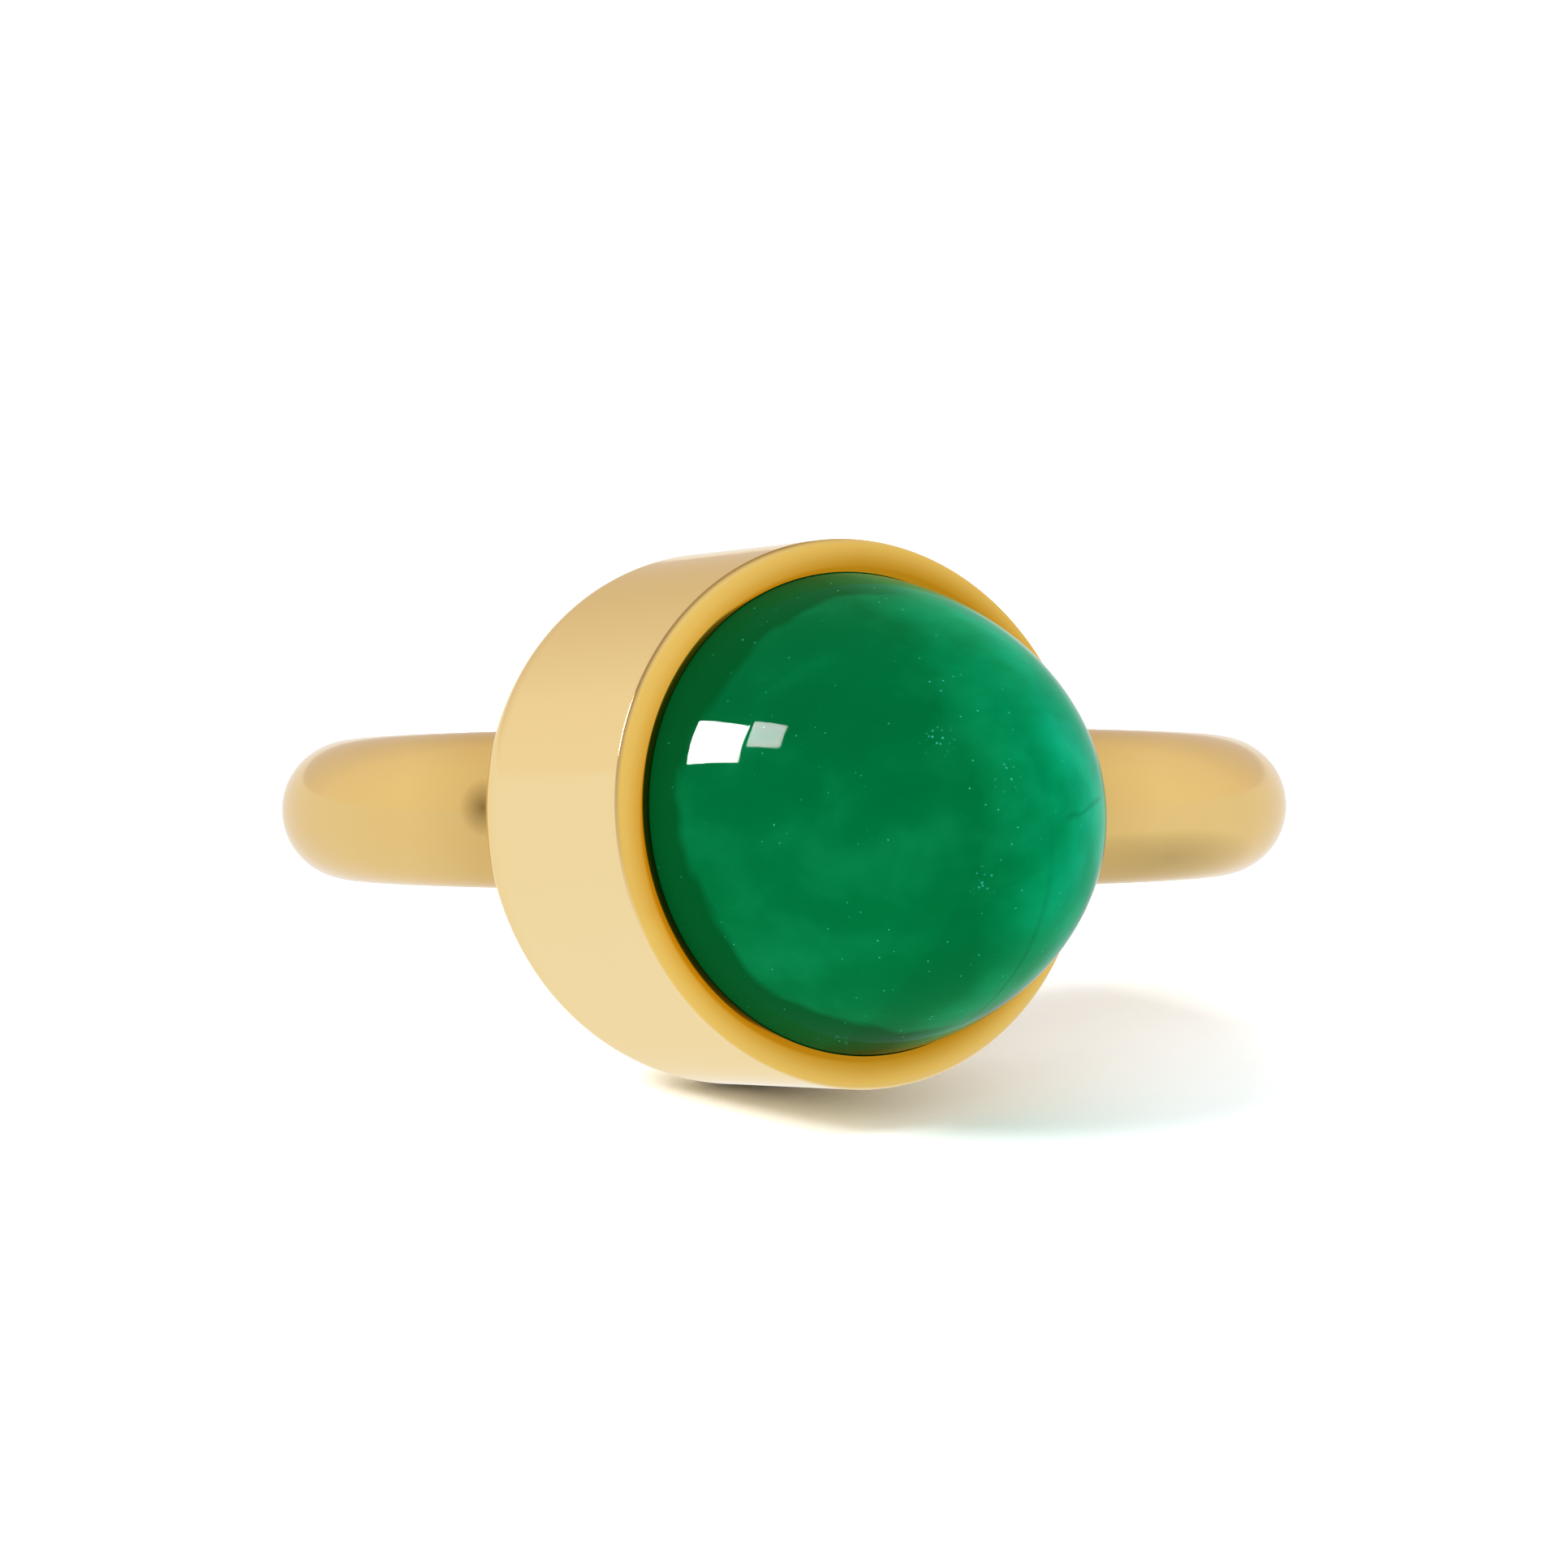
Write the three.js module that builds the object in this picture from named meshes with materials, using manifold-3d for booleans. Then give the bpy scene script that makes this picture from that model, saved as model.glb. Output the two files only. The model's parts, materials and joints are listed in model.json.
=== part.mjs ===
// Cocktail ring: a rounded gold band that carries a deep round bezel cup, set with a tall cabochon.
// Units are millimetres. The ring lies on its side as on a table: +Z is up, the head faces -Y,
// and the origin is on the table, under the middle of the ring's box.

import * as THREE from 'three';
import { mergeVertices } from 'three/addons/utils/BufferGeometryUtils.js';
import Module from 'manifold-3d';

const wasm = await Module();
wasm.setup();

// ---------------------------------------------------------------- driving dimensions

// Band. Its bore is the finger size, and it narrows and thins from the head to the back.
const BORE_RADIUS = 8.5;
const BAND_FRONT = { width: 3.4, thickness: 2.5 };
const BAND_BACK = { width: 2.55, thickness: 2.1 };
const BORE_CROWN = 0.78; // depth of the flattened inner curve, from the widest line to the bore
const OUTER_ROUNDNESS = 2; // superellipse power of the outer half of the section: 2 is a true ellipse
const BORE_ROUNDNESS = 3.2; // and of the flatter inner half

// Head. Its own frame has +Z out along the stone's axis and its origin in the plane of the rim.
const HEAD_SIDE = 1.435; // rim centre, to the right of the band's middle
const HEAD_REACH = 15.2; // rim centre, in front of the band's middle
const HEAD_DROP = 0.113; // rim centre, below the band's middle plane
const HEAD_SKEW = 29.4; // degrees that the stone's axis turns to the right of straight ahead
const HEAD_TIP = 0.92; // degrees that it tips up out of the band's plane
const OVALITY = 0.0172; // the head is this much longer one way, and shorter the other
const OVAL_TURN = -57.7; // degrees from the head's +X to the long way

// Cup
const RIM_RADIUS = 5.593;
const RIM_BEVEL = 0.05;
const LIP_RISE = 0.14; // the lip slopes up from the rim's edge to a narrow flat crest at the stone
const CREST_WIDTH = 0.18;
const DRUM_RADIUS = 5.48; // at the foot of the drum, where the rounded bottom starts
const DRUM_HEIGHT = 5.133;
const BOTTOM_DEPTH = 2.558;
const BOTTOM_ROUNDNESS = 2.6;
const CUP_WALL = 0.75;

// Seat ring and the ledge that it stands on, measured down from the rim
const SEAT_TOP = 1.45;
const SEAT_HEIGHT = 0.8;
const SEAT_WIDTH = 0.9;
const SEAT_CHAMFER = 0.2;

// Back plate, let into the bottom of the cup along the bore
const PLATE_THICKNESS = 0.8;
const PLATE_TURN = 5; // degrees round the band from straight ahead to the plate's middle
const PLATE_HALF_SPAN = 17; // degrees
const PLATE_HALF_WIDTH = 3.9;

// Cabochon
const STONE_RADIUS = 4.973;
const GIRDLE_DEPTH = 0.987; // widest line of the stone, below the rim
const STONE_HEIGHT = 6.678; // top of the stone, above the rim
const STONE_FULLNESS = 1.8; // power of the dome's profile: 2 is a half ellipse
const STONE_CHAMFER = 0.25;

const SOLDER_GAP = 0.02; // clearance left between neighbours
const REST_TILT = 12.74; // degrees that the band leans back, lying on the cup and on its own back edge

// Mesh fineness
const BAND_STEPS = 88;
const SECTION_POINTS = 20;
const HEAD_STEPS = 56;
const DOME_STEPS = 10;
const WELD = 1e-4;

const GOLD = { color: 0xe6c27a, roughness: 0.12, metalness: 1 };
const EMERALD = { color: 0x007d4b, roughness: 0.08, metalness: 0 };

// ---------------------------------------------------------------- frames

const radians = THREE.MathUtils.degToRad;

function headFrame() {
  const skew = radians(HEAD_SKEW);
  const tip = radians(HEAD_TIP);
  const flat = Math.cos(tip);
  const out = new THREE.Vector3(Math.sin(skew) * flat, -Math.cos(skew) * flat, Math.sin(tip));
  const across = new THREE.Vector3(Math.cos(skew), Math.sin(skew), 0);
  const up = new THREE.Vector3().crossVectors(out, across);
  const frame = new THREE.Matrix4().makeBasis(across, up, out);
  return frame.setPosition(HEAD_SIDE, -HEAD_REACH, -HEAD_DROP);
}

const HEAD_FRAME = headFrame();

// ---------------------------------------------------------------- shape helpers

function power(value, exponent) {
  return Math.sign(value) * Math.abs(value) ** exponent;
}

function solidOf(geometry) {
  const bare = geometry.clone();
  bare.deleteAttribute('normal');
  bare.deleteAttribute('uv');
  const welded = mergeVertices(bare, WELD);
  const mesh = new wasm.Mesh({
    numProp: 3,
    vertProperties: new Float32Array(welded.getAttribute('position').array),
    triVerts: new Uint32Array(welded.getIndex().array),
  });
  return new wasm.Manifold(mesh);
}

function geometryOf(solid) {
  const { vertProperties, triVerts } = solid.getMesh();
  const geometry = new THREE.BufferGeometry();
  geometry.setAttribute('position', new THREE.BufferAttribute(vertProperties, 3));
  geometry.setIndex(new THREE.BufferAttribute(triVerts, 1));
  geometry.computeVertexNormals();
  return geometry;
}

// Turns a profile of [radius, height] points about +Z.
function turned(profile, steps) {
  const points = profile.map(([radius, height]) => new THREE.Vector2(radius, height));
  return new THREE.LatheGeometry(points, steps).rotateX(Math.PI / 2);
}

// Makes a round head piece slightly oval.
function oval(geometry) {
  const turn = radians(OVAL_TURN);
  geometry.rotateZ(-turn);
  geometry.scale(1 + OVALITY, 1 - OVALITY, 1);
  return geometry.rotateZ(turn);
}

// Points of a rounded bottom from its pole, on the axis, to the line where it meets the drum.
function roundedBottom(radius, depth, top) {
  const points = [];
  for (let step = 0; step <= DOME_STEPS; step += 1) {
    const angle = (step / DOME_STEPS) * (Math.PI / 2);
    const exponent = 2 / BOTTOM_ROUNDNESS;
    const across = step === 0 ? 0 : radius * Math.sin(angle) ** exponent;
    const down = step === DOME_STEPS ? 0 : depth * Math.cos(angle) ** exponent;
    points.push([across, top - down]);
  }
  return points;
}

// ---------------------------------------------------------------- band

// One point of the band: turn is the angle round the finger, around the angle round the section.
function bandPoint(turn, around) {
  const nearHead = (1 + Math.cos(turn + Math.PI / 2)) / 2;
  const width = THREE.MathUtils.lerp(BAND_BACK.width, BAND_FRONT.width, nearHead);
  const thickness = THREE.MathUtils.lerp(BAND_BACK.thickness, BAND_FRONT.thickness, nearHead);
  const outwards = Math.cos(around);
  const isOuter = outwards > 0;
  const exponent = 2 / (isOuter ? OUTER_ROUNDNESS : BORE_ROUNDNESS);
  const reach = isOuter ? thickness - BORE_CROWN : BORE_CROWN;
  const radius = BORE_RADIUS + BORE_CROWN + reach * power(outwards, exponent);
  const height = (width / 2) * power(Math.sin(around), exponent);
  return [radius * Math.cos(turn), radius * Math.sin(turn), height];
}

// The whole hoop, before the cup is let into it: a torus with its points moved onto the section.
function hoop() {
  const geometry = new THREE.TorusGeometry(2, 1, SECTION_POINTS, BAND_STEPS);
  const places = geometry.getAttribute('position');
  for (let index = 0; index < places.count; index += 1) {
    const x = places.getX(index);
    const y = places.getY(index);
    const turn = Math.atan2(y, x);
    const around = Math.atan2(places.getZ(index), Math.hypot(x, y) - 2);
    places.setXYZ(index, ...bandPoint(turn, around));
  }
  return geometry;
}

// ---------------------------------------------------------------- head

// Radius of the stone's dome at a height from the rim.
function stoneRadius(height) {
  const rise = (height + GIRDLE_DEPTH) / (STONE_HEIGHT + GIRDLE_DEPTH);
  return STONE_RADIUS * Math.sqrt(Math.max(0, 1 - rise ** STONE_FULLNESS));
}

// The outside of the cup as one full solid, larger all over by grow.
function cupEnvelope(grow) {
  const bottom = roundedBottom(DRUM_RADIUS + grow, BOTTOM_DEPTH + grow, -DRUM_HEIGHT);
  const crest = stoneRadius(LIP_RISE) + SOLDER_GAP + CREST_WIDTH;
  const profile = [
    ...bottom,
    [RIM_RADIUS + grow, -RIM_BEVEL],
    [RIM_RADIUS - RIM_BEVEL + grow, grow],
    [crest, LIP_RISE + grow],
    [0, LIP_RISE + grow],
  ];
  return solidOf(oval(turned(profile, HEAD_STEPS)).applyMatrix4(HEAD_FRAME));
}

// The inside of the cup: the pocket that closes over the stone's widest line, the ledge under
// the seat ring and the hollow below.
function cupHollow() {
  const ledge = -(SEAT_TOP + SEAT_HEIGHT);
  const bottom = roundedBottom(DRUM_RADIUS - CUP_WALL, BOTTOM_DEPTH - CUP_WALL, -DRUM_HEIGHT);
  const pocket = STONE_RADIUS + SOLDER_GAP;
  const mouth = stoneRadius(LIP_RISE) + SOLDER_GAP;
  const profile = [
    ...bottom,
    [DRUM_RADIUS - CUP_WALL, ledge],
    [pocket, ledge],
    [pocket, -GIRDLE_DEPTH],
    [mouth, LIP_RISE],
    [mouth, 1],
    [0, 1],
  ];
  return solidOf(oval(turned(profile, HEAD_STEPS)).applyMatrix4(HEAD_FRAME));
}

// A curved oval plate that follows the bore.
function plateSolid(grow) {
  const inner = BORE_RADIUS - grow;
  const outer = BORE_RADIUS + PLATE_THICKNESS + grow;
  const tall = 2 * PLATE_HALF_WIDTH;
  const wall = turned([[inner, -tall], [outer, -tall], [outer, tall], [inner, tall], [inner, -tall]],
    2 * BAND_STEPS);
  const middle = BORE_RADIUS + PLATE_THICKNESS / 2;
  const halfSpan = middle * Math.sin(radians(PLATE_HALF_SPAN)) + grow;
  const outline = new THREE.CylinderGeometry(1, 1, 4 * PLATE_THICKNESS, HEAD_STEPS);
  outline.scale(halfSpan, 1, PLATE_HALF_WIDTH + grow);
  outline.translate(0, -middle, 0);
  outline.rotateZ(radians(PLATE_TURN));
  return solidOf(wall).intersect(solidOf(outline));
}

function boreSolid() {
  const tall = 4 * RIM_RADIUS;
  return solidOf(new THREE.CylinderGeometry(BORE_RADIUS, BORE_RADIUS, tall, 2 * BAND_STEPS)
    .rotateX(Math.PI / 2));
}

function seatRing() {
  const outer = STONE_RADIUS;
  const inner = outer - SEAT_WIDTH;
  const top = -SEAT_TOP;
  const bottom = top - SEAT_HEIGHT + SOLDER_GAP;
  const profile = [
    [inner, bottom],
    [outer, bottom],
    [outer, top],
    [inner + SEAT_CHAMFER, top],
    [inner, top - SEAT_CHAMFER],
    [inner, bottom],
  ];
  return oval(turned(profile, HEAD_STEPS));
}

function cabochon() {
  const base = -SEAT_TOP + SOLDER_GAP;
  const girdle = -GIRDLE_DEPTH;
  const dome = STONE_HEIGHT + GIRDLE_DEPTH;
  const profile = [[0, base], [STONE_RADIUS - STONE_CHAMFER, base], [STONE_RADIUS, base + STONE_CHAMFER]];
  for (let step = 0; step < DOME_STEPS; step += 1) {
    const height = girdle + dome * Math.sin((step / DOME_STEPS) * (Math.PI / 2));
    profile.push([stoneRadius(height), height]);
  }
  profile.push([0, STONE_HEIGHT]);
  return oval(turned(profile, HEAD_STEPS));
}

// ---------------------------------------------------------------- assembly

function piece(name, geometry, look) {
  const mesh = new THREE.Mesh(geometry, new THREE.MeshStandardMaterial(look));
  mesh.name = name;
  return mesh;
}

function ring() {
  const shank = solidOf(hoop()).subtract(cupEnvelope(SOLDER_GAP)).subtract(plateSolid(SOLDER_GAP));
  const cup = cupEnvelope(0).subtract(cupHollow()).subtract(boreSolid()).subtract(plateSolid(SOLDER_GAP));

  const head = new THREE.Group();
  head.applyMatrix4(HEAD_FRAME);
  head.add(piece('seat_ring', seatRing(), GOLD));
  head.add(piece('cabochon', cabochon(), EMERALD));

  const whole = new THREE.Group();
  whole.add(piece('shank', geometryOf(shank), GOLD));
  whole.add(piece('bezel_cup', geometryOf(cup), GOLD));
  whole.add(piece('back_plate', geometryOf(plateSolid(0)), GOLD));
  whole.add(head);
  return whole;
}

// Leans the ring back into its lying pose, and stands its box on the origin.
function laidDown(whole) {
  const table = new THREE.Group();
  table.add(whole);
  whole.rotation.x = -radians(REST_TILT);
  table.updateMatrixWorld(true);
  const box = new THREE.Box3().setFromObject(table, true);
  const middle = box.getCenter(new THREE.Vector3());
  whole.position.set(-middle.x, -middle.y, -box.min.z);
  table.updateMatrixWorld(true);
  return table;
}

export default laidDown(ring());
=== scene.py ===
"""Looks of the cocktail ring: polished yellow gold and a tall cloudy emerald cabochon.

Lengths are in millimetres until a mesh is made, and metres from there on. Two frames are used.
The ring frame has its origin in the middle of the band, +Z along the finger and the head towards -Y.
The head frame has its origin in the middle of the bezel's rim and +Z out along the stone's axis.
"""

import json
import math

import bpy
import numpy as np
from mathutils import Matrix, Vector


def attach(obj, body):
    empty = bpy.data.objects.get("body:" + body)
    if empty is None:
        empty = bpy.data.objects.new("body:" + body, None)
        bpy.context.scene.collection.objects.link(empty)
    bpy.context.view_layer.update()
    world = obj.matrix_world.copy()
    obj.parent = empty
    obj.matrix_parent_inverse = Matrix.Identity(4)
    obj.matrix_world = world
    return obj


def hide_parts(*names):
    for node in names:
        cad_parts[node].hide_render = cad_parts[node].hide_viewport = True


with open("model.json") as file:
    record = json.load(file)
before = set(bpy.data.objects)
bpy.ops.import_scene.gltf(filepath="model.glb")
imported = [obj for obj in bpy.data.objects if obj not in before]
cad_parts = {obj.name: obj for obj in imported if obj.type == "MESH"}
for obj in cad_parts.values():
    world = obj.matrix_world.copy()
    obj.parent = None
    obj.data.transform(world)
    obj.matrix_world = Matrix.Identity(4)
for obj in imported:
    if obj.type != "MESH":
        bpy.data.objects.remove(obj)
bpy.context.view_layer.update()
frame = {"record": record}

MM = 0.001
BODY = "root"

# ---------------------------------------------------------------- sizes, as in the CAD part

BORE_RADIUS = 8.5
FRONT_WIDTH, BACK_WIDTH = 3.4, 2.55
FRONT_THICKNESS, BACK_THICKNESS = 2.5, 2.1
BORE_CROWN = 0.78
OUTER_POWER, BORE_POWER = 2.0, 3.2

HEAD_SIDE, HEAD_REACH, HEAD_DROP = 1.435, 15.2, 0.113
HEAD_SKEW, HEAD_TIP = math.radians(29.4), math.radians(0.92)
OVALITY, OVAL_TURN = 0.0172, math.radians(-57.7)

RIM_RADIUS, RIM_BEVEL, RIM_FILLET = 5.593, 0.05, 0.02
LIP_RISE, CREST_WIDTH, CREST_FILLET, MOUTH_FILLET = 0.14, 0.18, 0.05, 0.025
DRUM_RADIUS, DRUM_HEIGHT = 5.48, 5.133
BOTTOM_DEPTH, BOTTOM_POWER = 2.558, 2.6
CUP_WALL = 0.75

SEAT_TOP, SEAT_HEIGHT, SEAT_WIDTH, SEAT_CHAMFER = 1.45, 0.8, 0.9, 0.2
PLATE_THICKNESS, PLATE_HALF_WIDTH = 0.8, 3.9
PLATE_TURN, PLATE_HALF_SPAN = math.radians(5), math.radians(17)
PLATE_EDGE = 0.07  # rounding of its outline
PLATE_STEP = 0.04  # how far the cup's bottom lies back from the plate's face

STONE_RADIUS, GIRDLE_DEPTH, STONE_HEIGHT = 4.973, 0.987, 6.678
STONE_POWER, STONE_CHAMFER = 1.8, 0.25
GAP = 0.02

SOLDER_FILLET = 0.16
SOLDER_BITE = 0.06  # how far the shank's ends reach into the cup's skin

# Mesh fineness
HEAD_STEPS = 320
BAND_STEPS = 420
SECTION_STEPS = 96

# Golds. An edge tint is how the gold reflects at a glancing angle.
BAND_GOLD, BAND_GOLD_DEEP, BAND_EDGE = (0.785, 0.56, 0.22), (0.765, 0.535, 0.195), (0.93, 0.87, 0.78)
# Painted shade: the band turns deeper gold beside the head, where it meets the cup.
JOINT_SHADE_GOLD = (0.60, 0.385, 0.12)
JOINT_START, JOINT_END = 6.3, 7.9  # how far to the side the band is deeper beside the head
# Painted shadow: a dark spot in the crease where the band meets the cup on the left.
JOINT_SHADOW_GOLD = (0.16, 0.085, 0.02)
JOINT_SHADOW_SPOT, JOINT_SHADOW_SIZE = (-6.3, -9.0, 0.05), 0.65  # the painted shadow in the crease at the left joint
WALL_EDGE = (0.94, 0.84, 0.62)
# Painted reflection: the cup wall is paler on its lower side, where it would mirror the bright floor, and
# deeper towards its upper side.
WALL_REFLECTION_GOLDS = [  # from the cup's lower side to its upper side
    (0.0, (0.90, 0.76, 0.49)),
    (0.22, (0.89, 0.72, 0.42)),
    (0.4, (0.875, 0.695, 0.375)),
    (0.72, (0.87, 0.685, 0.365)),
    (0.88, (0.85, 0.645, 0.325)),
    (1.0, (0.79, 0.57, 0.24)),
]
# Painted reflection: the lip turns from amber at the rim to deep orange at the stone, where the gold
# would mirror the stone and itself.
LIP_REFLECTION_GOLDS = [  # from the rim to the stone
    (0.0, (0.84, 0.61, 0.21)),
    (0.12, (0.84, 0.57, 0.14)),
    (0.35, (0.81, 0.53, 0.12)),
    (0.55, (0.76, 0.46, 0.08)),
    (0.72, (0.70, 0.38, 0.045)),
    (0.80, (0.56, 0.22, 0.001)),
    (0.94, (0.52, 0.19, 0.001)),
    (1.0, (0.36, 0.13, 0.004)),
]
# Painted shade on the lip's far side.
LIP_SHADE = (0.46, 0.235, 0.01)
# Painted reflection: the dark line along part of the rim's bevel.
RIM_REFLECTION_LINE = (0.30, 0.17, 0.06)

# Greens
# Painted light: the stone turns lighter towards its far side, where light would gather inside it.
STONE_GLOW_GREENS = [  # across the stone, from its near side to its far side
    (0.0, (0.0, 0.160, 0.043)),
    (0.41, (0.0, 0.172, 0.046)),
    (0.46, (0.0, 0.208, 0.060)),
    (0.54, (0.0, 0.262, 0.088)),
    (0.61, (0.0, 0.330, 0.122)),
    (0.69, (0.0, 0.415, 0.192)),
    (0.77, (0.01, 0.500, 0.280)),
    (0.86, (0.05, 0.560, 0.350)),
]
STONE_REACH = 4.5  # how far the greens reach to both sides of the middle
STONE_LEAN = 0.13  # how far they lean over, as a slope
STONE_LOWER_LIGHT = (0.0, 0.042, 0.010)  # painted light: how much lighter the lower side is
STONE_DRIFT, STONE_MIST = (0.0, 0.10, 0.022), (0.02, 0.50, 0.22)
# Painted shade over the girdle, and the colour of the crack.
STONE_SHADE_AND_CRACK = (0.0, 0.096, 0.017)
SHADE_SLOPE, SHADE_END, SHADE_START = 0.25, 2.25, 2.5  # the painted shade band over the girdle
STONE_SPECK = (0.05, 0.62, 0.46)
FLAWS = [(-1.47, 1.39, 5.97), (-0.25, 0.67, 6.59), (-0.55, -1.43, 6.26), (-1.1, -4.6, 1.0)]
FLAW_SIZE = 0.42
CRACK_FACING, CRACK_PLACE, CRACK_WIDTH = (0.18, -0.976, -0.119), -0.344, 0.09
CRACK_START, CRACK_END = 1.05, 2.9

# Studio
ROOM_LIGHTS = [  # what the gold reflects, from the camera's side to behind the ring
    (0.0, (0.95, 0.92, 0.89)),
    (0.35, (1.0, 0.97, 0.92)),
    (0.62, (1.04, 1.01, 0.94)),
    (0.85, (0.99, 0.94, 0.88)),
    (1.0, (0.80, 0.74, 0.72)),
]
PAPER, PAPER_HALF = (0.915, 0.94, 0.97), 0.35
SHADOW_PATCH_SPOT, SHADOW_PATCH_SIZE, SHADOW_PATCH_DEPTH = (0.0108, 0.001, 0.0), 0.0068, 0.36  # a painted shadow of the head, right of it
WINDOWS = [  # name, azimuth and elevation in degrees, width and height in metres, brightness
    ("window", -96.8, 22, 0.104, 0.105, 1.0),
    ("small_window", -85.7, 32, 0.068, 0.074, 0.5),
]
WINDOW_DISTANCE, WINDOW_ROLL = 0.4, 28
WINDOW_ON_STONE, WINDOW_ON_BEZEL = 1600.0, 30.0
FLOOR_LAMPS = [  # name, azimuth and elevation in degrees, size in metres, radiance
    ("shade_lamp", -47, 43, 0.2, 29.0),
    ("fill_lamp", 0, 48, 0.6, 0.9),
]
FLOOR_LAMP_DISTANCE = 0.5

# ---------------------------------------------------------------- frames

MOUNTS = {mount["name"]: mount for mount in frame["record"]["mounts"]}


def ring_frame():
    """The ring frame in the row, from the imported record's finger bore."""
    bore = MOUNTS["finger_bore"]
    along_finger = Vector(bore["axis"]).normalized()
    right = Vector((1, 0, 0))
    back = along_finger.cross(right)
    axes = Matrix((right, back, along_finger)).transposed().to_4x4()
    return Matrix.Translation(Vector(bore["pos_m"])) @ axes


def head_frame():
    """The head frame in the ring frame, in millimetres."""
    flat = math.cos(HEAD_TIP)
    out = Vector((math.sin(HEAD_SKEW) * flat, -math.cos(HEAD_SKEW) * flat, math.sin(HEAD_TIP)))
    across = Vector((math.cos(HEAD_SKEW), math.sin(HEAD_SKEW), 0))
    up = out.cross(across)
    axes = Matrix((across, up, out)).transposed().to_4x4()
    return Matrix.Translation((HEAD_SIDE, -HEAD_REACH, -HEAD_DROP)) @ axes


RING = ring_frame()
HEAD_MM = head_frame()
HEAD = RING @ Matrix.Translation(HEAD_MM.translation * MM) @ HEAD_MM.to_3x3().to_4x4()
HEAD_TURN = np.array(HEAD_MM.to_3x3())
HEAD_PLACE = np.array(HEAD_MM.translation)


def in_row(points, place):
    """Millimetre points of one frame as metres in the row."""
    return points @ (np.array(place.to_3x3()).T * MM) + np.array(place.translation)


def head_to_ring(points):
    return points @ HEAD_TURN.T + HEAD_PLACE


def ring_to_head(points):
    return (points - HEAD_PLACE) @ HEAD_TURN


# ---------------------------------------------------------------- mesh helpers


def add_piece(name, points, faces, place, material):
    """A smooth piece from points in millimetres, which rides on the ring and stands for its CAD node."""
    mesh = bpy.data.meshes.new(name)
    mesh.from_pydata(in_row(points, place).tolist(), [], faces)
    mesh.shade_smooth()
    mesh.materials.append(material)
    piece = bpy.data.objects.new(name, mesh)
    bpy.context.scene.collection.objects.link(piece)
    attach(piece, BODY)
    return piece


def turned(profile, steps=HEAD_STEPS):
    """Points and faces of a profile of (radius, height) turned about Z. Ends on the axis become poles."""
    angles = np.arange(steps) * (2 * math.pi / steps)
    rings, points = [], []
    for radius, height in profile:
        first = len(points)
        if radius < 1e-9:
            points.append((0.0, 0.0, height))
            rings.append([first] * steps)
            continue
        points.extend(zip(radius * np.cos(angles), radius * np.sin(angles), [height] * steps))
        rings.append(list(range(first, first + steps)))
    faces = []
    for low, high in zip(rings, rings[1:]):
        for here in range(steps):
            there = (here + 1) % steps
            corners = dict.fromkeys((low[here], low[there], high[there], high[here]))
            faces.append(tuple(corners))
    return np.array(points), faces


def oval(points):
    """Makes a round head piece slightly longer one way than the other."""
    cos, sin = math.cos(OVAL_TURN), math.sin(OVAL_TURN)
    turn = np.array(((cos, -sin), (sin, cos)))
    shape = turn @ np.diag((1 + OVALITY, 1 - OVALITY)) @ turn.T
    shaped = points.copy()
    shaped[:, :2] = points[:, :2] @ shape.T
    return shaped


def rounded(corners, steps=5):
    """A profile through (radius, height, fillet) corners, with each fillet drawn as a curve."""
    profile = []
    for index, (radius, height, fillet) in enumerate(corners):
        corner = np.array((radius, height))
        if fillet == 0 or index in (0, len(corners) - 1):
            profile.append(tuple(corner))
            continue
        before = np.array(corners[index - 1][:2]) - corner
        after = np.array(corners[index + 1][:2]) - corner
        start = corner + before / np.linalg.norm(before) * fillet
        end = corner + after / np.linalg.norm(after) * fillet
        profile.append(tuple(start + (start - corner) * 0.2))
        for step in range(steps + 1):
            share = step / steps
            point = start * (1 - share) ** 2 + corner * 2 * share * (1 - share) + end * share**2
            profile.append(tuple(point))
        profile.append(tuple(end + (end - corner) * 0.2))
    return profile


def bottom_arc(radius, depth, steps=72):
    """The rounded bottom's profile, from the pole to the foot of the drum."""
    arc = [(0.0, -DRUM_HEIGHT - depth)]
    for step in range(1, steps + 1):
        angle = step / steps * math.pi / 2
        across = radius * math.sin(angle) ** (2 / BOTTOM_POWER)
        down = depth * max(math.cos(angle), 0.0) ** (2 / BOTTOM_POWER)
        arc.append((across, -DRUM_HEIGHT - down))
    return arc


def pressed(points, radius, softness=0.05):
    """Pushes head points out to a cylinder round the finger, with a softly polished crease."""
    in_ring = head_to_ring(points)
    reach = np.hypot(in_ring[:, 0], in_ring[:, 1])
    soft = radius + softness * np.logaddexp(0, (reach - radius) / softness)
    in_ring[:, :2] *= (soft / reach)[:, None]
    return ring_to_head(in_ring)


# ---------------------------------------------------------------- band


def band_point(turn, around):
    """A point of the plain hoop, and the way out of its surface. turn is 0 straight ahead."""
    near_head = (1 + math.cos(turn)) / 2
    width = BACK_WIDTH + (FRONT_WIDTH - BACK_WIDTH) * near_head
    thickness = BACK_THICKNESS + (FRONT_THICKNESS - BACK_THICKNESS) * near_head
    outwards, sideways = math.cos(around), math.sin(around)
    power = 2 / (OUTER_POWER if outwards > 0 else BORE_POWER)
    reach = thickness - BORE_CROWN if outwards > 0 else BORE_CROWN
    radius = BORE_RADIUS + BORE_CROWN + reach * math.copysign(abs(outwards) ** power, outwards)
    height = width / 2 * math.copysign(abs(sideways) ** power, sideways)
    return radius, height


def cup_reach(depth):
    """Radius of the cup's outside at a depth below the rim, or 0 past its bottom."""
    if depth < DRUM_HEIGHT:
        return RIM_RADIUS + (DRUM_RADIUS - RIM_RADIUS) * depth / DRUM_HEIGHT
    share = (depth - DRUM_HEIGHT) / BOTTOM_DEPTH
    return DRUM_RADIUS * max(0.0, 1 - share**BOTTOM_POWER) ** (1 / BOTTOM_POWER)


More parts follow.
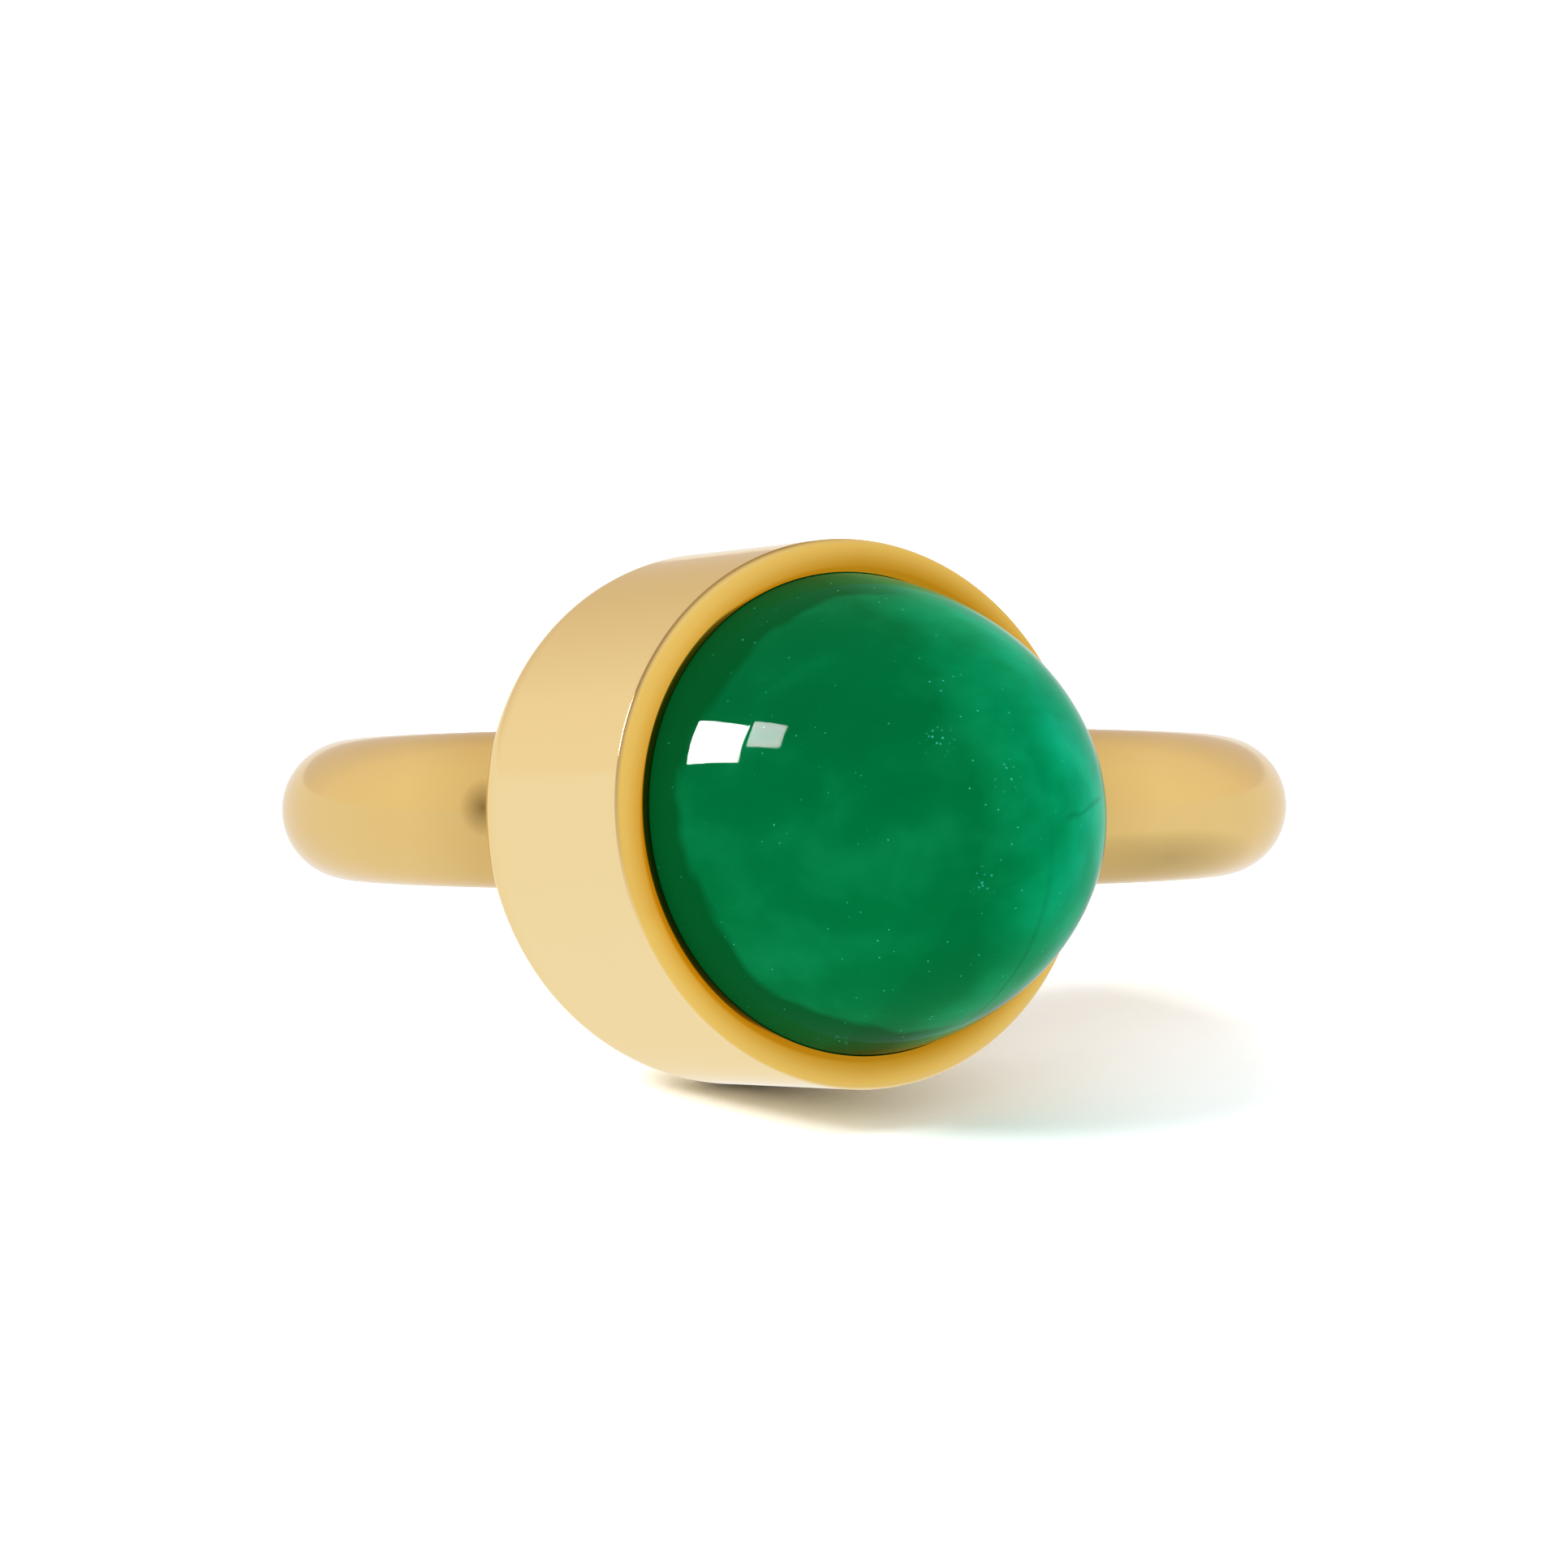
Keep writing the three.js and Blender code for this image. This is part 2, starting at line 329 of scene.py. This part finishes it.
def in_head(radius, turn, height):
    """True inside the cup's outside or inside the back plate."""
    point = np.array(((radius * math.sin(turn), -radius * math.cos(turn), height),))
    across, up, out = ring_to_head(point)[0]
    if math.hypot(across, up) < cup_reach(-out):
        return True
    along = (turn - PLATE_TURN) / PLATE_HALF_SPAN
    beside = height / PLATE_HALF_WIDTH
    return radius < BORE_RADIUS + PLATE_THICKNESS and math.hypot(along, beside) < 1


def shoulder_turn(around, side):
    """Where one line of the hoop meets the head, by halving, on the side +1 or -1."""
    far, near = side * math.radians(70), math.radians(3)
    for _ in range(40):
        middle = (far + near) / 2
        radius, height = band_point(middle, around)
        if in_head(radius, middle, height):
            near = middle
        else:
            far = middle
    return far


def fillet_lift(distance):
    """How far the solder at a shoulder stands off the band, at a distance from the cup."""
    left = SOLDER_FILLET - distance
    if left <= 0:
        return 0.0
    return SOLDER_FILLET - math.sqrt(max(0.0, SOLDER_FILLET**2 - left**2))


def band_line(around):
    """One line of the shank, from its right end round the back to its left end."""
    start = shoulder_turn(around, 1)
    end = shoulder_turn(around, -1) + 2 * math.pi
    bite = SOLDER_BITE / BORE_RADIUS
    fillet = SOLDER_FILLET / BORE_RADIUS
    close = fillet * (1 - np.cos(np.linspace(0, math.pi / 2, 9)))
    middle = np.linspace(start + fillet, end - fillet, BAND_STEPS)[1:-1]
    turns = np.concatenate(((start - bite,), start + close, middle, (end - close)[::-1], (end + bite,)))
    outer_side = min(1.0, max(0.0, 0.6 + 1.5 * math.cos(around)))
    line = []
    for turn in turns:
        radius, height = band_point(turn, around)
        distance = max(0.0, min(turn - start, end - turn)) * radius
        lift = fillet_lift(distance) * outer_side
        radius += lift * math.cos(around)
        height += lift * math.sin(around)
        line.append((radius * math.sin(turn), -radius * math.cos(turn), height))
    return line


def make_shank(material):
    arounds = np.arange(SECTION_STEPS) * (2 * math.pi / SECTION_STEPS)
    lines = np.array([band_line(around) for around in arounds])
    count = lines.shape[1]
    faces = []
    for line in range(SECTION_STEPS):
        beside = (line + 1) % SECTION_STEPS
        for step in range(count - 1):
            here, there = line * count + step, beside * count + step
            faces.append((here, here + 1, there + 1, there))
    faces.append(tuple(line * count for line in range(SECTION_STEPS)))
    faces.append(tuple(line * count + count - 1 for line in reversed(range(SECTION_STEPS))))
    piece = add_piece("polished_shank", lines.reshape(-1, 3), faces, RING, material)
    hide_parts("shank")
    return piece


# ---------------------------------------------------------------- head


def stone_radius(height):
    """Radius of the stone's dome at a height from the rim."""
    rise = (height + GIRDLE_DEPTH) / (STONE_HEIGHT + GIRDLE_DEPTH)
    return STONE_RADIUS * math.sqrt(max(0.0, 1 - rise**STONE_POWER))


def make_cup(material):
    """The cup as one turned shell: rounded bottom, drum, rim, sloping lip, crest, pocket and hollow."""
    ledge = -(SEAT_TOP + SEAT_HEIGHT)
    mouth = stone_radius(LIP_RISE)
    pocket = STONE_RADIUS + GAP
    outside = bottom_arc(DRUM_RADIUS, BOTTOM_DEPTH)
    drum = [
        (DRUM_RADIUS + (RIM_RADIUS - DRUM_RADIUS) * share, -DRUM_HEIGHT * (1 - share))
        for share in np.linspace(0.04, 0.96, 24)
    ]
    rim = rounded([
        (*drum[-1], 0),
        (RIM_RADIUS, -RIM_BEVEL, RIM_FILLET),
        (RIM_RADIUS - RIM_BEVEL, 0, RIM_FILLET),
        (mouth + CREST_WIDTH, LIP_RISE, CREST_FILLET),
        (mouth, LIP_RISE, MOUTH_FILLET),
        (pocket, -GIRDLE_DEPTH, 0.1),
        (pocket, ledge, 0.05),
        (DRUM_RADIUS - CUP_WALL, ledge, 0.03),
        (DRUM_RADIUS - CUP_WALL, -DRUM_HEIGHT, 0),
    ])
    inside = bottom_arc(DRUM_RADIUS - CUP_WALL, BOTTOM_DEPTH - CUP_WALL, 24)[::-1]
    points, faces = turned(outside + drum + rim[1:-1] + inside)
    points = oval(points)
    outside_count = 1 + (len(outside) - 1 + len(drum)) * HEAD_STEPS
    points[:outside_count] = pressed(points[:outside_count], BORE_RADIUS + PLATE_STEP)
    points[outside_count:] = pressed(points[outside_count:], BORE_RADIUS + PLATE_THICKNESS / 2)
    piece = add_piece("polished_cup", points, faces, HEAD, material)
    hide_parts("bezel_cup")
    return piece


def make_seat(material):
    outer = STONE_RADIUS
    inner = outer - SEAT_WIDTH
    bottom = -SEAT_TOP - SEAT_HEIGHT + GAP
    profile = rounded([
        (inner, bottom, 0),
        (outer, bottom, 0.03),
        (outer, -SEAT_TOP, 0.03),
        (inner + SEAT_CHAMFER, -SEAT_TOP, 0.03),
        (inner, -SEAT_TOP - SEAT_CHAMFER, 0.03),
        (inner, bottom, 0),
    ])
    points, faces = turned(profile[:-1] + profile[:1])
    piece = add_piece("bearing_ring", oval(points), faces, HEAD, material)
    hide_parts("seat_ring")
    return piece


def make_plate(material):
    """An oval plate with softened edges, wrapped round the bore. Its outline is the unit circle first."""
    face, back = BORE_RADIUS, BORE_RADIUS + PLATE_THICKNESS
    edge = PLATE_EDGE / PLATE_HALF_WIDTH
    profile = [(0.0, face)] + [(share, face) for share in np.linspace(0.1, 0.9, 9)]
    profile += [(1 - edge * (1 - math.sin(turn)), face + PLATE_EDGE * (1 - math.cos(turn)))
                for turn in np.linspace(0, math.pi / 2, 7)]
    profile += [(1.0, back), (0.5, back), (0.0, back)]
    points, faces = turned(profile, 160)
    turns = PLATE_TURN + points[:, 0] * PLATE_HALF_SPAN
    heights = points[:, 1] * PLATE_HALF_WIDTH
    radii = points[:, 2]
    wrapped = np.stack((radii * np.sin(turns), -radii * np.cos(turns), heights), axis=1)
    piece = add_piece("finger_plate", wrapped, faces, RING, material)
    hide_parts("back_plate")
    return piece


def make_cabochon(material):
    base, girdle = -SEAT_TOP + GAP, -GIRDLE_DEPTH
    dome = STONE_HEIGHT + GIRDLE_DEPTH
    profile = rounded([
        (0, base, 0),
        (STONE_RADIUS - STONE_CHAMFER, base, 0.04),
        (STONE_RADIUS, base + STONE_CHAMFER, 0.08),
        (STONE_RADIUS, girdle, 0),
    ])
    for angle in np.linspace(0, math.pi / 2, 129)[1:-1]:
        height = girdle + dome * math.sin(angle) ** (2 / STONE_POWER)
        profile.append((stone_radius(height), height))
    profile.append((0, STONE_HEIGHT))
    points, faces = turned(profile)
    piece = add_piece("emerald_cabochon", oval(points), faces, HEAD, material)
    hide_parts("cabochon")
    return piece


# ---------------------------------------------------------------- materials


def new_material(name):
    material = bpy.data.materials.new(name)
    material.use_nodes = True
    tree = material.node_tree
    return material, tree, tree.nodes["Principled BSDF"]


def frame_place(tree, place):
    """Coordinates of a surface point in the ring or head frame, in millimetres."""
    mapping = tree.nodes.new("ShaderNodeMapping")
    mapping.vector_type = "TEXTURE"
    mapping.inputs["Location"].default_value = place.translation
    mapping.inputs["Rotation"].default_value = place.to_euler()
    mapping.inputs["Scale"].default_value = (MM, MM, MM)
    source = tree.nodes.new("ShaderNodeTexCoord")
    tree.links.new(source.outputs["Object"], mapping.inputs["Vector"])
    return mapping.outputs["Vector"]


def stretched(tree, place, stretch):
    mapping = tree.nodes.new("ShaderNodeMapping")
    mapping.inputs["Scale"].default_value = stretch
    tree.links.new(place, mapping.inputs["Vector"])
    return mapping.outputs["Vector"]


def noise(tree, place, scale, detail=2.0, distortion=0.0):
    """Noise with scale features per millimetre."""
    texture = tree.nodes.new("ShaderNodeTexNoise")
    texture.inputs["Scale"].default_value = scale
    texture.inputs["Detail"].default_value = detail
    texture.inputs["Distortion"].default_value = distortion
    tree.links.new(place, texture.inputs["Vector"])
    return texture.outputs["Fac"]


def ramp(tree, value, stops):
    """A colour ramp of (position, colour) stops."""
    node = tree.nodes.new("ShaderNodeValToRGB")
    elements = node.color_ramp.elements
    while len(elements) < len(stops):
        elements.new(0.5)
    for element, (position, colour) in zip(elements, stops):
        element.position = position
        element.color = (*colour, 1)
    tree.links.new(value, node.inputs["Fac"])
    return node.outputs["Color"]


def spread(tree, value, low, high, start=0.35, end=0.65):
    """A number that runs from low to high as value runs from start to end."""
    node = tree.nodes.new("ShaderNodeMapRange")
    node.inputs["From Min"].default_value = start
    node.inputs["From Max"].default_value = end
    node.inputs["To Min"].default_value = low
    node.inputs["To Max"].default_value = high
    tree.links.new(value, node.inputs["Value"])
    return node.outputs["Result"]


def along(tree, place, direction):
    """How far a place lies along a fixed direction."""
    node = tree.nodes.new("ShaderNodeVectorMath")
    node.operation = "DOT_PRODUCT"
    node.inputs[1].default_value = direction
    tree.links.new(place, node.inputs[0])
    return node.outputs["Value"]


def distance(tree, place, spot):
    node = tree.nodes.new("ShaderNodeVectorMath")
    node.operation = "DISTANCE"
    node.inputs[1].default_value = spot
    tree.links.new(place, node.inputs[0])
    return node.outputs["Value"]


def near(tree, place, spot, size):
    """1 at a spot, falling to 0 at a distance of size."""
    return spread(tree, distance(tree, place, spot), 1, 0, 0, size)


def math_step(tree, operation, first, second):
    """A sum, product or other step of two numbers, of which the second may be a plain one."""
    node = tree.nodes.new("ShaderNodeMath")
    node.operation = operation
    tree.links.new(first, node.inputs[0])
    if isinstance(second, (int, float)):
        node.inputs[1].default_value = second
    else:
        tree.links.new(second, node.inputs[1])
    return node.outputs["Value"]


def mixed(tree, share, under, over, blend="MIX"):
    """Two colours mixed. Either may be a plain colour."""
    node = tree.nodes.new("ShaderNodeMix")
    node.data_type = "RGBA"
    node.blend_type = blend
    node.clamp_factor = True
    tree.links.new(share, node.inputs["Factor"])
    for socket, colour in ((node.inputs[6], under), (node.inputs[7], over)):
        if isinstance(colour, tuple):
            socket.default_value = (*colour, 1)
        else:
            tree.links.new(colour, socket)
    return node.outputs[2]


def bumped(tree, height, depth, under=None):
    node = tree.nodes.new("ShaderNodeBump")
    node.inputs["Distance"].default_value = depth
    tree.links.new(height, node.inputs["Height"])
    if under is not None:
        tree.links.new(under, node.inputs["Normal"])
    return node.outputs["Normal"]


def polish(tree, shader, place, smooth, dull, waves, edge):
    """The hand-polished skin of the gold: buffing haze, shallow waves and hairlines."""
    haze = noise(tree, place, 0.9, detail=5)
    tree.links.new(spread(tree, haze, smooth, dull), shader.inputs["Roughness"])
    wave = bumped(tree, noise(tree, place, 0.33), waves)
    hairline = noise(tree, stretched(tree, place, (1, 0.12, 1)), 2.6, detail=3)
    tree.links.new(bumped(tree, hairline, 0.05e-6, wave), shader.inputs["Normal"])
    shader.inputs["Metallic"].default_value = 1.0
    shader.inputs["Specular Tint"].default_value = (*edge, 1)


def band_gold(name):
    """Deep gold, with painted shade beside the head and a painted shadow at the left joint."""
    material, tree, shader = new_material(name)
    place = frame_place(tree, RING)
    plain = ramp(tree, noise(tree, place, 0.26), [(0.35, BAND_GOLD), (0.7, BAND_GOLD_DEEP)])
    # Painted shade beside the head, on both sides.
    sideways = math_step(tree, "ABSOLUTE", along(tree, place, (1, 0, 0)), 0.0)
    joint = spread(tree, sideways, 0.55, 0, JOINT_START, JOINT_END)
    deeper = mixed(tree, joint, plain, JOINT_SHADE_GOLD)
    # Painted shadow in the crease at the left joint.
    hollow = math_step(tree, "MULTIPLY", near(tree, place, JOINT_SHADOW_SPOT, JOINT_SHADOW_SIZE), 0.8)
    tree.links.new(mixed(tree, hollow, deeper, JOINT_SHADOW_GOLD), shader.inputs["Base Color"])
    polish(tree, shader, place, 0.09, 0.15, 1.2e-6, BAND_EDGE)
    return material


def lip_reflection_colour(tree, place, across):
    """Painted reflection: amber at the rim and orange at the stone, where the gold mirrors the stone and
    itself, and painted shade deeper on the far side.
    """
    mouth = stone_radius(LIP_RISE)
    radius = distance(tree, stretched(tree, place, (1, 1, 0)), (0, 0, 0))
    plain = ramp(tree, spread(tree, radius, 0, 1, RIM_RADIUS, mouth), LIP_REFLECTION_GOLDS)
    # Painted shade: the lip darkens towards its far side, most near the stone.
    far_side = spread(tree, across, 0, 1, -4.0, 0.2)
    inner = spread(tree, radius, 1, 0.25, mouth, mouth + 0.6)
    return mixed(tree, math_step(tree, "MULTIPLY", far_side, inner), plain, LIP_SHADE)


def rim_reflection_line(tree, across, upwards, height):
    """1 on the bevel of the rim where a dark line is painted as a reflection, on the upper near side."""
    above_wall = spread(tree, height, 0, 1, -1.6 * RIM_BEVEL, -RIM_BEVEL)
    below_lip = spread(tree, height, 1, 0, -RIM_BEVEL / 2, RIM_BEVEL / 4)
    upper_side = spread(tree, upwards, 0, 0.85, -2.5, 2.5)
    near_side = spread(tree, across, 1, 0, -1.5, 0.5)
    on_bevel = math_step(tree, "MULTIPLY", above_wall, below_lip)
    return math_step(tree, "MULTIPLY", on_bevel, math_step(tree, "MULTIPLY", upper_side, near_side))


def bezel_gold(name):
    """Painted reflections: a pale wall, palest on its lower side, a deep orange lip and a dark line along
    part of the rim; painted shade on the lip's far side.
    """
    material, tree, shader = new_material(name)
    place = frame_place(tree, HEAD)
    across, upwards, height = (along(tree, place, axis) for axis in ((1, 0, 0), (0, 1, 0), (0, 0, 1)))
    # Painted reflection of floor and room, by height on the wall.
    wall = ramp(tree, spread(tree, upwards, 0, 1, -RIM_RADIUS, RIM_RADIUS), WALL_REFLECTION_GOLDS)
    on_lip = spread(tree, height, 0, 1, -RIM_BEVEL, 0)
    skin = mixed(tree, on_lip, wall, lip_reflection_colour(tree, place, across))
    line = rim_reflection_line(tree, across, upwards, height)
    tree.links.new(mixed(tree, line, skin, RIM_REFLECTION_LINE), shader.inputs["Base Color"])
    polish(tree, shader, place, 0.05, 0.1, 1.0e-6, WALL_EDGE)
    return material


def specks(tree, place, scale, size):
    """1 in tiny round specks, 0 elsewhere."""
    cells = tree.nodes.new("ShaderNodeTexVoronoi")
    cells.inputs["Scale"].default_value = scale
    tree.links.new(place, cells.inputs["Vector"])
    return spread(tree, cells.outputs["Distance"], 1, 0, size * 0.5, size)


def flaws(tree, place):
    """Clusters of fine specks round a few spots, and a scatter of single ones."""
    close = near(tree, place, FLAWS[0], FLAW_SIZE)
    for spot in FLAWS[1:]:
        close = math_step(tree, "MAXIMUM", close, near(tree, place, spot, FLAW_SIZE))
    clusters = math_step(tree, "MULTIPLY", close, specks(tree, place, 8.0, 0.27))
    patches = spread(tree, noise(tree, place, 0.8), 0.1, 1, 0.4, 0.58)
    single = math_step(tree, "MULTIPLY", specks(tree, place, 3.6, 0.085), patches)
    return math_step(tree, "MAXIMUM", clusters, single)


def crack(tree, place, across):
    """A fine wandering crack on the far side, along a plane through the stone."""
    wander = spread(tree, noise(tree, place, 1.3), -0.08, 0.08)
    offset = math_step(tree, "ADD", along(tree, place, CRACK_FACING), wander)
    from_plane = math_step(tree, "SUBTRACT", offset, CRACK_PLACE)
    line = spread(tree, math_step(tree, "ABSOLUTE", from_plane, 0.0), 0.32, 0, 0.0, CRACK_WIDTH)
    begins = spread(tree, across, 0, 1, CRACK_START, CRACK_START + 0.3)
    ends = spread(tree, across, 1, 0, CRACK_END - 0.3, CRACK_END)
    return math_step(tree, "MULTIPLY", line, math_step(tree, "MULTIPLY", begins, ends))


def stone_body(tree, place, across):
    """Painted light: deep green on the near side, lighter where light would gather on the far side and on
    the lower side; cloudy all over.
    """
    drift = spread(tree, noise(tree, place, 0.55, detail=3), -0.4, 0.4)
    drifted = math_step(tree, "ADD", across, drift)
    green = ramp(tree, spread(tree, drifted, 0, 1, -STONE_REACH, STONE_REACH), STONE_GLOW_GREENS)
    # Painted light on the lower side.
    lower_side = spread(tree, along(tree, place, (0, 1, 0)), 1, 0, -2.0, 2.0)
    lifted = mixed(tree, lower_side, green, STONE_LOWER_LIGHT, "ADD")
    cloud = noise(tree, stretched(tree, place, (1, 1.25, 1)), 0.5, detail=9, distortion=0.25)
    clouded = mixed(tree, spread(tree, cloud, 0.3, 0), lifted, STONE_DRIFT)
    return mixed(tree, spread(tree, cloud, 0, 0.12, 0.5, 0.75), clouded, STONE_MIST)


def girdle_shade(tree, place, across):
    """1 in the painted shade band over the girdle, where the cup's dark inside would show through, which
    rises and fades towards the far side.
    """
    wander = spread(tree, noise(tree, place, 0.5), -0.2, 0.2)
    height = math_step(tree, "ADD", along(tree, place, (-SHADE_SLOPE, 0, 1)), wander)
    band = spread(tree, height, 0.9, 0, SHADE_END, SHADE_START)
    return math_step(tree, "MULTIPLY", band, spread(tree, across, 1, 0, -0.6, 0.6))


def emerald(name):
    """Cloudy emerald with painted light, a painted shade band over its girdle, specks, a crack and a
    polished skin.
    """
    material, tree, shader = new_material(name)
    place = frame_place(tree, HEAD)
    across = along(tree, place, (1, STONE_LEAN, 0))
    body = stone_body(tree, place, across)
    # Painted shade band over the girdle.
    shaded = mixed(tree, girdle_shade(tree, place, across), body, STONE_SHADE_AND_CRACK)
    cracked = mixed(tree, crack(tree, place, across), shaded, STONE_SHADE_AND_CRACK)
    dotted = mixed(tree, flaws(tree, place), cracked, STONE_SPECK)
    tree.links.new(dotted, shader.inputs["Base Color"])
    shader.inputs["Roughness"].default_value = 0.02
    shader.inputs["IOR"].default_value = 1.58
    shader.inputs["Specular IOR Level"].default_value = 0.004
    return material


def floor_material():
    """White paper. What it lights, and what mirrors it, sees it evenly lit but for a painted shadow right
    of the head.
    """
    material, tree, shader = new_material("white_paper")
    shader.inputs["Base Color"].default_value = (*PAPER, 1)
    shader.inputs["Roughness"].default_value = 0.9
    shader.inputs["Specular IOR Level"].default_value = 0.0
    place = tree.nodes.new("ShaderNodeTexCoord").outputs["Object"]
    plain = tree.nodes.new("ShaderNodeEmission")
    # Painted shadow of the head in the paper's even light.
    painted_shadow = math_step(tree, "MULTIPLY", near(tree, place, SHADOW_PATCH_SPOT, SHADOW_PATCH_SIZE), -SHADOW_PATCH_DEPTH)
    tree.links.new(math_step(tree, "ADD", painted_shadow, 1.0), plain.inputs["Strength"])
    rays = tree.nodes.new("ShaderNodeLightPath")
    direct = spread(tree, rays.outputs["Diffuse Depth"], 1, 0, 0, 1)
    mirrored = math_step(tree, "MULTIPLY", direct, rays.outputs["Is Glossy Ray"])
    choice = tree.nodes.new("ShaderNodeMixShader")
    tree.links.new(math_step(tree, "ADD", mirrored, rays.outputs["Is Diffuse Ray"]), choice.inputs["Fac"])
    tree.links.new(shader.outputs["BSDF"], choice.inputs[1])
    tree.links.new(plain.outputs["Emission"], choice.inputs[2])
    tree.links.new(choice.outputs["Shader"], tree.nodes["Material Output"].inputs["Surface"])
    return material


# ---------------------------------------------------------------- studio


def make_floor():
    mesh = bpy.data.meshes.new("floor")
    corners = [(x * PAPER_HALF, y * PAPER_HALF, 0) for x, y in ((-1, -1), (1, -1), (1, 1), (-1, 1))]
    mesh.from_pydata(corners, [], [(0, 1, 2, 3)])
    mesh.materials.append(floor_material())
    floor = bpy.data.objects.new("floor", mesh)
    bpy.context.scene.collection.objects.link(floor)
    return floor


def make_world():
    """A warm white room for reflections, a little dimmer behind the ring, and plain white light."""
    world = bpy.data.worlds.new("studio")
    bpy.context.scene.world = world
    world.use_nodes = True
    tree = world.node_tree
    direction = tree.nodes.new("ShaderNodeTexCoord").outputs["Generated"]
    backwards = spread(tree, along(tree, direction, (0, 1, 0)), 0, 1, -1, 1)
    room = ramp(tree, backwards, ROOM_LIGHTS)
    rays = tree.nodes.new("ShaderNodeLightPath")
    seen = mixed(tree, rays.outputs["Is Glossy Ray"], (1.0, 1.0, 1.0), room)
    tree.links.new(seen, tree.nodes["Background"].inputs["Color"])


def soft_box(name, azimuth, elevation, distance, width, height, radiance, roll=0.0):
    """A rectangular lamp that faces the rim, azimuth degrees to the right of the camera's side."""
    turn, rise = math.radians(azimuth), math.radians(elevation)
    way = Vector((math.sin(turn) * math.cos(rise), -math.cos(turn) * math.cos(rise), math.sin(rise)))
    lamp = bpy.data.lights.new(name, "AREA")
    lamp.shape = "RECTANGLE"
    lamp.size, lamp.size_y = width, height
    lamp.energy = radiance * math.pi * width * height
    holder = bpy.data.objects.new(name, lamp)
    bpy.context.scene.collection.objects.link(holder)
    facing = way.to_track_quat("Z", "Y").to_matrix().to_4x4()
    spin = Matrix.Rotation(math.radians(roll), 4, "Z")
    holder.matrix_world = Matrix.Translation(HEAD.translation + way * distance) @ facing @ spin
    return holder


def collection_of(name, pieces):
    collection = bpy.data.collections.new(name)
    for piece in pieces:
        collection.objects.link(piece)
    return collection


def make_windows(piece, radiance):
    """Two window-like boxes that show only as reflections, and only in one piece."""
    only = collection_of(f"lit_{piece.name}", [piece])
    for name, azimuth, elevation, width, height, brightness in WINDOWS:
        name = f"{name}_on_{piece.name}"
        window = soft_box(name, azimuth, elevation, WINDOW_DISTANCE, width, height,
                          radiance * brightness, WINDOW_ROLL)
        window.visible_diffuse = False
        window.light_linking.receiver_collection = only


def make_floor_lamps(head, floor):
    """A lamp and a wide fill that light only the floor, and of which only the head casts a shadow."""
    lit = collection_of("lit_floor", [floor])
    casting = collection_of("casting_head", head)
    for name, azimuth, elevation, size, radiance in FLOOR_LAMPS:
        lamp = soft_box(name, azimuth, elevation, FLOOR_LAMP_DISTANCE, size, size, radiance)
        lamp.light_linking.receiver_collection = lit
        lamp.light_linking.blocker_collection = casting


def make_lights(cup, cabochon, floor):
    make_windows(cabochon, WINDOW_ON_STONE)
    make_windows(cup, WINDOW_ON_BEZEL)
    make_floor_lamps([cup, cabochon], floor)


def make_camera():
    """A long lens that looks along the band's own plane, so that the band shows edge-on."""
    distance, lens, sensor = 0.300, 320.0, 36.0
    aim_above = 0.00051
    roll = math.radians(0.28)
    camera = bpy.data.cameras.new("camera")
    camera.lens = lens
    camera.sensor_width = sensor
    holder = bpy.data.objects.new("camera", camera)
    bpy.context.scene.collection.objects.link(holder)
    ring_turn = RING.to_3x3()
    ahead, up = ring_turn.col[1], ring_turn.col[2]
    place = RING.translation - ahead * distance + up * aim_above
    right = ahead.cross(up)
    looking = Matrix((right, up, -ahead)).transposed().to_4x4()
    holder.matrix_world = Matrix.Translation(place) @ looking @ Matrix.Rotation(-roll, 4, "Z")
    camera.clip_start, camera.clip_end = 0.01, 10
    bpy.context.scene.camera = holder


# ---------------------------------------------------------------- assembly


def make_ring():
    band = band_gold("band_gold")
    make_shank(band)
    make_plate(band)
    make_seat(band)
    cup = make_cup(bezel_gold("bezel_gold"))
    cabochon = make_cabochon(emerald("cloudy_emerald"))
    return cup, cabochon


make_camera()
cup, cabochon = make_ring()
floor = make_floor()
make_world()
make_lights(cup, cabochon, floor)
bpy.context.scene.view_settings.view_transform = "Standard"
